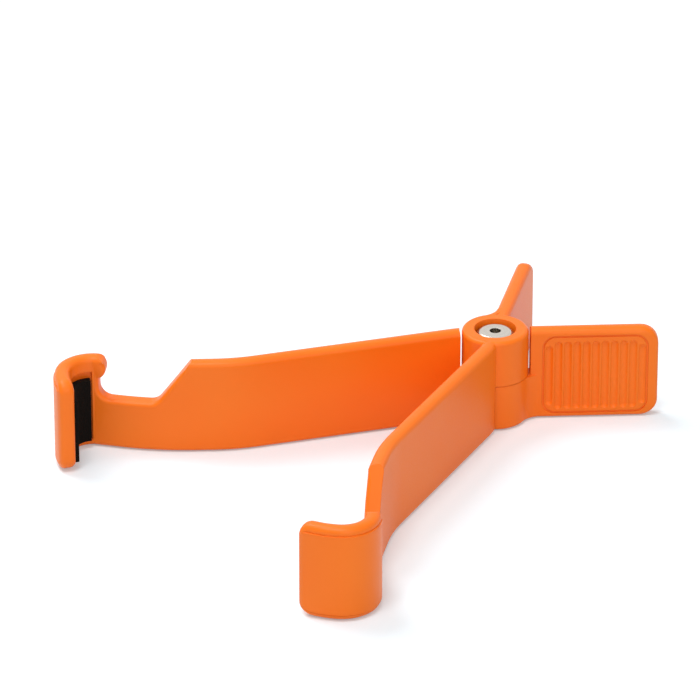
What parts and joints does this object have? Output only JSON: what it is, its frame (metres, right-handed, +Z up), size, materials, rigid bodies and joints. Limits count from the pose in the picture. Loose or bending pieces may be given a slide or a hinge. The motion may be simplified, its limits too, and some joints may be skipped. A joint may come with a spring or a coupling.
{
  "type": "phone holder clip",
  "caption": "Folding scissor-shaped desk clip: two arms with padded hooks and slots hold a slim device above a table and close side by side on one rivet.",
  "frame": {"origin": "middle of the footprint in the standing pose, on the surface that the clip stands on", "axes": "+Z up, -Y to the hooks, +X from the left arm's hook to the right arm's; the rivet's axis is parallel to Z"},
  "size_m": [0.0892, 0.105, 0.0191],
  "materials": {
    "orange_plastic": "semi-matte moulded",
    "black_foam": "matte foam",
    "steel": "plated"
  },
  "bodies": {
    "left": {"left_arm": "orange_plastic", "left_pad": "black_foam", "pivot_rivet": "steel", "flat_washer": "steel", "spring_washer": "steel"},
    "right": {"right_arm": "orange_plastic", "right_pad": "black_foam"}
  },
  "joints": [
    {"name": "pivot", "type": "hinge", "parent": "left", "child": "right", "pos_m": [0, 0.02662, 0], "axis": [0, 0, 1], "range_deg": [-46.8, 42.8]}
  ]
}
